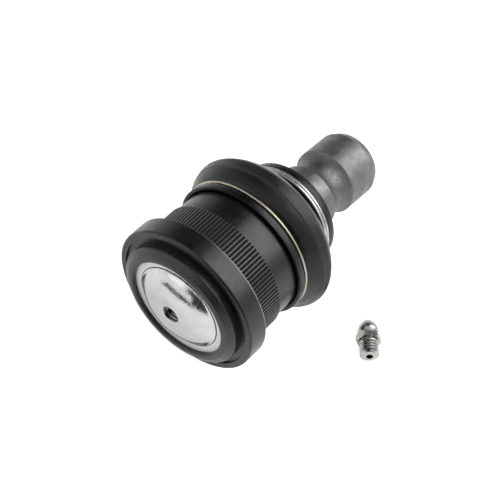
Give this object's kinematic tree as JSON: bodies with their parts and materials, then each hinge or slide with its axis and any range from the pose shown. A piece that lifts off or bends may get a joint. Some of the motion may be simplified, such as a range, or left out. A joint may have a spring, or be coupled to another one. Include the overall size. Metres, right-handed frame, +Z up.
{
  "type": "suspension ball joint",
  "caption": "Press-fit suspension ball joint with serrated flanged housing, rubber boot, clamped ball stud and loose grease fitting.",
  "frame": {"origin": "centre of the ball, which is on the housing's axis, 10.4 mm in front of the flange's seating face", "axes": "+X along the housing's axis from the cover plate towards the stud, +Z up, square to +X, with the stud leaning 6.83 degrees down from +X"},
  "size_m": [0.089, 0.0726, 0.0536],
  "materials": {
    "black_steel": "black phosphate and oil, semi-gloss, thin brownish on the crimped lip",
    "zinc_plate": "bright bluish zinc plating on a pressed plate",
    "bearing_plastic": "moulded off-white acetal, greased",
    "spring_steel": "blued spring steel, satin",
    "bare_steel": "bare forged and turned steel, fine grain, satin",
    "boot_rubber": "matte moulded rubber",
    "yellow_wire": "yellow chromate zinc on round wire",
    "bush_plastic": "moulded black nylon",
    "bright_wire": "bright zinc on round wire",
    "fitting_zinc": "bright zinc plating on a turned steel fitting"
  },
  "bodies": {
    "housing": {"housing": "black_steel", "cover_plate": "zinc_plate", "mouth_bearing": "bearing_plastic", "pressure_cup": "bearing_plastic", "preload_spring": "spring_steel", "boot_clamp_ring": "yellow_wire"},
    "boot": {"boot": "boot_rubber"},
    "neck": {"slip_bush": "bush_plastic", "boot_neck_ring": "bright_wire"},
    "stud": {"ball_stud": "bare_steel"},
    "fitting": {"fitting_body": "fitting_zinc", "check_spring": "spring_steel"},
    "fitting_ball": {"check_ball": "spring_steel"}
  },
  "joints": [
    {"name": "lean_direction", "type": "hinge", "parent": "housing", "child": "boot", "pos_m": [0, 0, 0], "axis": [1, 0, 0], "continuous": true},
    {"name": "stud_tilt", "type": "hinge", "parent": "boot", "child": "neck", "pos_m": [0, 0, 0], "axis": [0, 1, 0], "range_deg": [-31.8, 18.1], "deforming": ["boot"]},
    {"name": "stud_spin", "type": "hinge", "parent": "neck", "child": "stud", "pos_m": [0, 0, 0], "axis": [0.9929, 0, -0.1189], "continuous": true},
    {"name": "fitting_lift", "type": "slide", "parent": "housing", "child": "fitting", "axis": [0.0897, 0, 0.996], "range_m": [0, 0.04]},
    {"name": "check_ball_press", "type": "slide", "parent": "fitting", "child": "fitting_ball", "axis": [-0.7742, -0.6291, 0.0698], "range_m": [0, 0.0008], "stiffness_N_per_m": 150, "springref_m": -0.001, "deforming": ["check_spring"]}
  ]
}
